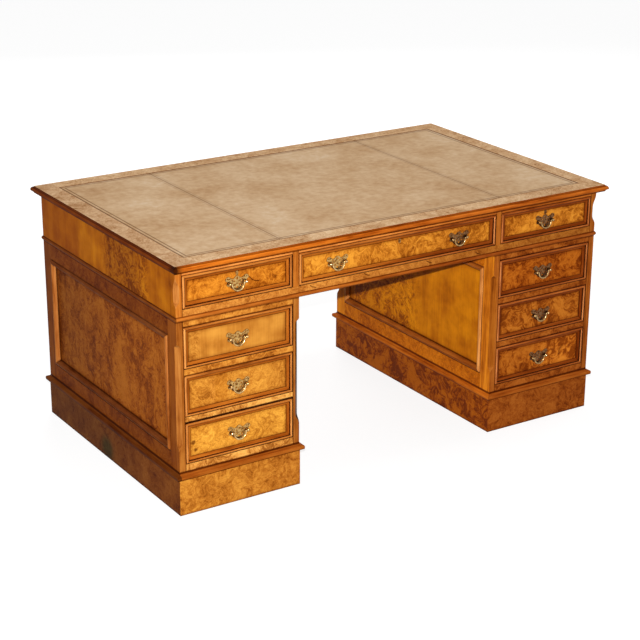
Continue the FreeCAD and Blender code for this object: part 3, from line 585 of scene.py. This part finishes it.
# Pedestals
# The upright beads are coloured lighter than the level ones: a painted reflection on the outer panels and a
# painted highlight in the kneehole
UPRIGHT_BEAD = straight("upright_bead", (158, 91, 38), "z", 4, worn=0.5, grime=0.006, polish=SIDE_POLISH)
LEVEL_BEAD = straight("level_bead", (104, 52, 20), "y", 33, worn=0.3, grime=0.012, polish=SIDE_POLISH)
INNER_BEAD = straight("inner_bead", (184, 114, 52), "z", 34, worn=0.5, grime=0.006)
INNER_LEVEL_BEAD = straight("inner_level_bead", (146, 74, 20), "y", 35, worn=0.4, grime=0.008)
POST = grained("post", "xz", (150, 83, 26), 5, right=(157, 82, 24), worn=0.3, marks=(
    *JOINT_DIRT_AND_SHADE, *side_dirt_and_shade("left_upper", "right_upper")))
FRIEZE_POST = straight("frieze_post", (176, 98, 30), "z", 44, right=(158, 84, 24), worn=0.3, marks=side_dirt_and_shade(
    "front_left_frieze", "front_centre_frieze", "front_right_frieze"))
CHAMFER = straight("chamfer", (164, 98, 40), "z", 36, right=(132, 64, 16), worn=0.4, marks=(
    fade("z", WAIST_TOP + 0.005, FRIEZE_BASE - 0.001, (0.86, 0.82, 0.74)),))
# On the left pedestal the inner chamfer darkens towards the front: painted shade
INNER_CHAMFER = straight("inner_chamfer", (150, 80, 20), "z", 42, marks=(
    on_left(fade("y", 0.0, -0.3, (0.32, 0.40, 1.0))),))
INNER_POST = straight("inner_post", (199, 110, 19), "z", 14, worn=0.4, marks=JOINT_DIRT_AND_SHADE)
INNER_RAIL = veneer("inner_rail", (198, 106, 14), 37, marks=JOINT_DIRT_AND_SHADE)
SIDE_POST = straight("side_post", (122, 58, 12), "z", 6, worn=0.4, polish=SIDE_POLISH, marks=(
    *JOINT_DIRT_AND_SHADE, fade("y", -0.3, 0.3, (0.8, 0.8, 0.9))))
SIDE_RAIL = veneer("side_rail", (122, 58, 10), 38, polish=SIDE_POLISH, cloud=1.0, curl=1.2, marks=JOINT_DIRT_AND_SHADE)
PALE_RAILS = [on_left(band("z", low, high, PALE, 0.006)) for low, high in (FOOT_RAIL, LOW_RAIL)]
RAIL = veneer("rail_burr", (192, 118, 42), 7, right=(156, 80, 24), cloud=1.2, curl=1.6, marks=(
    *PALE_RAILS, LOW_GAP_SHADOW, *HEAD_DIRT_AND_SHADE, *JOINT_DIRT_AND_SHADE))

# Frieze
FRIEZE_SHAKES = [shake([(x - 0.009, z + 0.006), (x, z), (x + 0.010, z - 0.003)], 0.0022)
                 for x, z in ((-0.312, 0.623), (-0.122, 0.626), (0.106, 0.625), (0.293, 0.620))]
FRIEZE_RAIL = veneer("frieze_rail_burr", (196, 122, 49), 17, right=(165, 96, 33), marks=FRIEZE_SHAKES)
FRIEZE_HEAD = straight("frieze_head", (214, 128, 56), "x", 39, right=(190, 104, 36), marks=(
    dirt_and_shade_line(FRIEZE_HEAD_LEVEL, 0.0025, 0.0017, (0.34, 0.26, 0.2)),))

# Panels, plinths and the top
INNER_PANEL = veneer("inner_panel", (206, 121, 11), 8, cloud=1.4, curl=2.2, streak=0.6, marks=(
    fade("y", -0.05, 0.3, (0.8, 0.7, 0.7)), panel_rim), calm=stretch("y", -1.0, -0.02, 0.05))
OUTER_PANEL = veneer("outer_panel", (156, 82, 21), 9, polish=SIDE_POLISH, cloud=1.4, curl=1.5, fleck=1.1,
                     streak=1.0, marks=(fade("y", -0.2, 0.35, (0.72, 0.72, 0.8)), panel_rim))
FRIEZE_END = veneer("frieze_end", (177, 98, 10), 18, polish=SIDE_POLISH, cloud=1.2, curl=2.6, streak=0.8,
                    calm=either(stretch("y", -1.0, -0.28, 0.03), stretch("y", 0.0, 1.0, 0.05)), marks=(
                        band("y", -0.23, -0.01, (0.70, 0.65, 0.9), 0.05),
                        band("y", 0.18, 0.5, (0.78, 0.66, 0.6), 0.02),
                        band("y", -0.4200, -0.4180, (0.5, 0.4, 0.4), 0.0008)))
PLINTH = veneer("plinth_burr", (191, 118, 39), 10, right=(155, 80, 23), cloud=0.8, curl=1.4, marks=(
    PLINTH_LINE, fade("x", -0.6, -0.36, (0.92, 0.86, 0.85)),))
PLINTH_INNER = veneer("plinth_inner_burr", (154, 73, 8), 11, cloud=2.4, curl=2.8, marks=(PLINTH_LINE,))
PLINTH_SIDE = veneer("plinth_side_burr", (122, 64, 20), 16, polish=SIDE_POLISH, cloud=0.9, curl=0.8, marks=(
    PLINTH_LINE, fade("y", -0.3, 0.1, (0.76, 0.8, 0.9)), spot(PLINTH_STAIN, 0.06, (0.36, 0.70, 1.05))))
BORDER = veneer("border_burr", (195, 156, 117), 12, eyes=0.05, curl=0.9, cloud=0.6, vein=0.0, grime=0.003,
                polish=TOP_POLISH, marks=(fade("x", -0.70, -0.73, (0.90, 0.88, 0.88)),))
REAR_FIELD = veneer("rear_field", (202, 120, 26), 20)


# Drawer fronts
def field(name, colour, seed, marks=(), **figure):
    """The burr veneer on one drawer's front."""
    marks = (*marks, rim(name + "_drawer"))
    return veneer("field_" + name, colour, seed, marks=marks, grime=0.006, **figure)


FIELD_FINISHES = {
    "front_left_frieze": dict(colour=(201, 119, 32), seed=21, cloud=0.8, curl=1.3, marks=(
        shake([(-0.530, 0.697), (-0.521, 0.690), (-0.512, 0.680), (-0.500, 0.675), (-0.490, 0.674)], 0.0024),
        knot(-0.507, 0.712, 0.006, 0.6),
        knot(-0.435, 0.677, 0.006, 0.6),
        knot(-0.400, 0.717, 0.006, 0.4))),
    "front_centre_frieze": dict(colour=(202, 124, 36), seed=22, cloud=1.0, curl=1.8),
    "front_right_frieze": dict(colour=(200, 120, 34), seed=23, cloud=1.0, curl=1.8),
    "left_upper": dict(colour=(194, 125, 46), seed=24, calm=stretch("x", -0.690, 1.0, 0.01), marks=(
        band("x", -0.690, -0.622, (1.1, 1.15, 1.2), 0.01),)),
    "left_middle": dict(colour=(203, 131, 46), seed=25, marks=(
        band("x", -0.655, -0.641, (1.1, 1.12, 1.2), 0.002),
        band("x", -0.641, -0.600, (0.88, 0.8, 0.66), 0.002))),
    "left_lower": dict(colour=(215, 143, 49), seed=26, marks=(
        knot(-0.715, 0.219, 0.010),
        knot(-0.708, 0.194, 0.008))),
    "right_upper": dict(colour=(165, 82, 17), seed=27, cloud=1.8, curl=2.6),
    "right_middle": dict(colour=(172, 92, 24), seed=28, cloud=1.8, curl=2.6),
    "right_lower": dict(colour=(164, 84, 20), seed=30, cloud=1.8, curl=2.6, marks=(
        shake([(0.664, 0.236), (0.654, 0.226), (0.650, 0.210)], 0.005, 0.6),
        fade("x", 0.50, 0.66, (1.42, 1.55, 1.6)))),
}
DRAWER_FIELDS = {name: field(name, **finish) for name, finish in FIELD_FINISHES.items()}


# Rules that pick the material of each face
def edge_gaps(centre, low, high):
    """How far a place is from the nearest side and from the nearest end of an upright rectangle."""
    across = min(centre.x - low.x, high.x - centre.x)
    upright = min(centre.z - low.z, high.z - centre.z)
    return across, upright


def drawer_rule(node, face):
    """Burr field, mitred beads and coves round it, edges darkened as painted shade in the gap, and pale
    linings behind.
    """
    low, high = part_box(node)

    def rule(centre, normal):
        depth = abs(centre.y)
        across, upright = edge_gaps(centre, low, high)
        if depth < DRAWER_FRONT_BACK:
            return LINING_X if abs(normal.y) > MOSTLY else LINING_Y
        edge = min(across, upright)
        if edge < NEAR and abs(normal.y) < EDGE_ON:
            return GAP_SHADE_WOOD
        if depth < FIELD_Y + NEAR and abs(normal.y) > SQUARE:
            return face
        if abs(edge - DRAWER_BEAD) < QUIRK_REACH:
            return QUIRK
        return (BEAD if edge < DRAWER_BEAD else COVE)["z" if across < upright else "x"]
    return rule


def door_rule(node):
    """Stiles, rails and a beaded burr panel, with plain wood behind."""
    low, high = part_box(node)

    def rule(centre, normal):
        depth = abs(centre.y)
        across, upright = edge_gaps(centre, low, high)
        if depth < DOOR_BACK:
            return LINING_X
        flat = abs(normal.y) > SQUARE
        if flat and min(across, upright) < SIDE_STILE and depth > FIELD_Y + NEAR:
            return POST["z" if across < SIDE_STILE else "x"]
        if flat and depth < FIELD_Y + NEAR:
            return REAR_FIELD
        return BEAD["z" if across < upright else "x"]
    return rule


def frame_rule(centre, normal):
    """Posts and rails of a pedestal: burr rails in front, straight posts, a dark outer side."""
    side = abs(centre.x)
    at_post = abs(centre.y) > FACE_Y - SIDE_STILE
    if abs(normal.y) > MOSTLY and abs(centre.y) > FIELD_Y:
        return POST["z"] if side < INNER_X + STILE or side > OUTER_X - STILE else RAIL
    if abs(normal.x) > MOSTLY and side > OUTER_X - NEAR:
        return SIDE_POST if at_post else SIDE_RAIL
    if abs(normal.x) > MOSTLY and side < INNER_X + NEAR:
        return INNER_POST if at_post else INNER_RAIL
    if abs(normal.x) > PARTLY and abs(normal.y) > PARTLY:
        return CHAMFER if side > PEDESTAL_MIDDLE_X else INNER_CHAMFER
    # Faces inside the openings: painted shade
    return GAP_SHADE_WOOD


def panel_rule(centre, normal):
    """Dark panels outside, golden ones in the kneehole."""
    return OUTER_PANEL if abs(centre.x) > PEDESTAL_MIDDLE_X else INNER_PANEL


def panel_moulding_rule(centre, normal):
    """Upright strips near the panel's ends, level ones along its top and foot."""
    level = abs(centre.y) < FACE_Y - SIDE_STILE - PANEL_MOULDING
    if abs(centre.x) > PEDESTAL_MIDDLE_X:
        return LEVEL_BEAD if level else UPRIGHT_BEAD
    return INNER_LEVEL_BEAD if level else INNER_BEAD


def ring_rule(woods):
    """A moulding that runs round the desk or a pedestal, with its grain along each side."""
    def rule(centre, normal):
        return woods["x" if abs(normal.y) > abs(normal.x) else "y"]
    return rule


def plinth_bead_rule(centre, normal):
    """The plinths' mouldings, brighter in the kneehole."""
    if abs(normal.y) > abs(normal.x):
        return PLINTH_BEAD["x"]
    return PLINTH_BEAD["y"] if abs(centre.x) > PEDESTAL_MIDDLE_X else INNER_PLINTH_BEAD


def border_rule(centre, normal):
    """Burr on the top's border, solid wood on its moulded edge."""
    if normal.z > SQUARE and centre.z > TOP_LEVEL - NEAR:
        return BORDER
    return EDGE["x" if abs(normal.y) > abs(normal.x) else "y"]


def frieze_frame_rule(centre, normal):
    """Bottom rail, head and posts of the frieze, darkened inside the openings as painted shade."""
    if abs(normal.y) < MOSTLY or abs(centre.y) < FIELD_Y:
        return GAP_SHADE_WOOD
    if centre.z < FRIEZE_BASE + FRIEZE_BOTTOM_RAIL:
        return FRIEZE_RAIL
    return FRIEZE_HEAD if centre.z > FRIEZE_HEAD_LEVEL else FRIEZE_POST


def plinth_rule(centre, normal):
    """Plinth boards: front and rear, outer side, kneehole side."""
    if abs(normal.x) < PARTLY:
        return PLINTH
    return PLINTH_SIDE if abs(centre.x) > PEDESTAL_MIDDLE_X else PLINTH_INNER


def frieze_end_rule(centre, normal):
    """Burr ends with plain chamfers and front edges."""
    if abs(normal.y) < PARTLY:
        return FRIEZE_END
    return CHAMFER if abs(normal.x) > PARTLY else FRIEZE_POST


def handle_rule(centre, normal):
    """Dull plates, with the turned posts that stand on them rubbed bright."""
    return BAIL if abs(centre.y) > FIELD_Y + PLATE_PROUD else PLATE


def always(material):
    """One material all over."""
    return lambda centre, normal: material


CASE_RULES = {
    "desktop_core": always(LINING_X),
    "leather_panels": always(LEATHER),
    "desktop_border": border_rule,
    "frieze_ends": frieze_end_rule,
    "frieze_front_frame": frieze_frame_rule,
    "frieze_rear_frame": frieze_frame_rule,
    "frieze_internals": always(LINING_X),
    "waist_moulding": ring_rule(WAIST),
    "right_pedestal_frame": frame_rule,
    "left_pedestal_frame": frame_rule,
    "pedestal_internals": always(LINING_Y),
    "side_panels": panel_rule,
    "panel_mouldings": panel_moulding_rule,
    "plinths": plinth_rule,
    "plinth_mouldings": plinth_bead_rule,
}


def dress_desk():
    """Every CAD node gets its finish."""
    for node in nodes:
        if node in CASE_RULES:
            dress(node, CASE_RULES[node])
        elif node.endswith("_drawer"):
            dress(node, drawer_rule(node, DRAWER_FIELDS.get(node.removesuffix("_drawer"), REAR_FIELD)))
        elif node.endswith("_door"):
            dress(node, door_rule(node))
        elif node.endswith("_handle"):
            dress(node, handle_rule)
        else:
            dress(node, always(BAIL if "_bail" in node else HINGE))


# Studio
def studio_world():
    """White to the camera and in reflections, a soft even light to everything else."""
    world = bpy.data.worlds.new("studio")
    bpy.context.scene.world = world
    world.use_nodes = True
    tree = world.node_tree
    path = tree.nodes.new("ShaderNodeLightPath")
    seen = path.outputs["Is Camera Ray"]
    for kind in ("Is Glossy Ray", "Is Transmission Ray"):
        joined = tree.nodes.new("ShaderNodeMath")
        joined.operation = "MAXIMUM"
        tree.links.new(seen, joined.inputs[0])
        tree.links.new(path.outputs[kind], joined.inputs[1])
        seen = joined.outputs[0]
    level = tree.nodes.new("ShaderNodeMapRange")
    tree.links.new(seen, level.inputs[0])
    level.inputs[3].default_value = AMBIENT
    level.inputs[4].default_value = BACKGROUND
    tree.links.new(level.outputs[0], tree.nodes["Background"].inputs["Strength"])
    tree.nodes["Background"].inputs["Color"].default_value = (1, 1, 1, 1)


def studio_floor():
    """A wide pale floor that is white to the camera away from the desk's shadow."""
    bpy.ops.mesh.primitive_plane_add(size=FLOOR_SIZE, location=(0, 0, -NEAR))
    floor = bpy.context.object
    floor.name = "floor"
    p = Paint("floor", **{"Roughness": 0.9, "Specular IOR Level": 0.1})
    p.shader.inputs["Base Color"].default_value = (FLOOR_GREY, FLOOR_GREY, FLOOR_GREY, 1)
    p.shader.inputs["Emission Color"].default_value = (1, 1, 1, 1)
    path = p.add("ShaderNodeLightPath", {}).node.outputs
    mirrored = p.calc("MAXIMUM", path["Is Glossy Ray"], path["Is Transmission Ray"])
    seen = p.calc("MAXIMUM", path["Is Camera Ray"], mirrored)
    far = p.measure("LENGTH", p.place())
    level = p.smooth(far, FLOOR_NEAR, FLOOR_FAR, FLOOR_GLOW_NEAR, FLOOR_GLOW_FAR)
    glow = p.calc("MULTIPLY", seen, level)
    p.tree.links.new(glow, p.shader.inputs["Emission Strength"])
    floor.data.materials.append(p.material)


def lamp(name, level, place, size, target=(0, 0, 0.4), mirrored=True):
    """A square lamp that gives its level on a surface facing it at the target, and may show in the polish."""
    place, target = Vector(place), Vector(target)
    away = place - target
    data = bpy.data.lights.new(name, "AREA")
    data.size = size
    data.energy = level * (math.pi * away.length) ** 2
    lamp_object = bpy.data.objects.new(name, data)
    lamp_object.location = place
    lamp_object.rotation_mode = "QUATERNION"
    lamp_object.rotation_quaternion = away.to_track_quat("Z", "Y")
    lamp_object.visible_glossy = mirrored
    bpy.context.scene.collection.objects.link(lamp_object)


def studio_lamps():
    """A small key, placed by the photograph's shadow in the kneehole, and soft fills that aren't mirrored."""
    lamp("key", level=1.12, place=(-2.9, -4.5, 2.48), size=0.04)
    lamp("left_fill", level=0.1, place=(-4.5, 0.2, 2.2), size=2.5, mirrored=False)
    lamp("rear_fill", level=0.5, place=(2.0, 4.2, 2.6), size=2.5, mirrored=False)
    lamp("right_fill", level=0.3, place=(4.6, 0.4, 2.4), size=2.5, mirrored=False)
    lamp("overhead", level=0.3, place=(-0.6, -0.4, 3.6), size=2.4, mirrored=False)


def photograph_camera():
    """The camera that took the photograph, solved from the desk's corners."""
    azimuth, elevation = math.radians(CAMERA_AZIMUTH), math.radians(CAMERA_ELEVATION)
    back = Vector((math.sin(azimuth) * math.cos(elevation),
                   -math.cos(azimuth) * math.cos(elevation),
                   math.sin(elevation)))
    level_right = (-back).cross(Vector((0, 0, 1))).normalized()
    level_up = level_right.cross(-back)
    roll = math.radians(CAMERA_ROLL)
    right = math.cos(roll) * level_right + math.sin(roll) * level_up
    up = -math.sin(roll) * level_right + math.cos(roll) * level_up
    data = bpy.data.cameras.new("camera")
    data.lens = CAMERA_LENS
    data.sensor_width = CAMERA_SENSOR
    camera = bpy.data.objects.new("camera", data)
    camera.matrix_world = Matrix((right, up, back)).transposed().to_4x4()
    camera.location = CAMERA_TARGET + back * CAMERA_DISTANCE + right * CAMERA_RIGHT + up * CAMERA_UP
    bpy.context.scene.collection.objects.link(camera)
    bpy.context.scene.camera = camera


dress_desk()
studio_world()
studio_floor()
studio_lamps()
photograph_camera()
bpy.context.scene.view_settings.view_transform = "Standard"
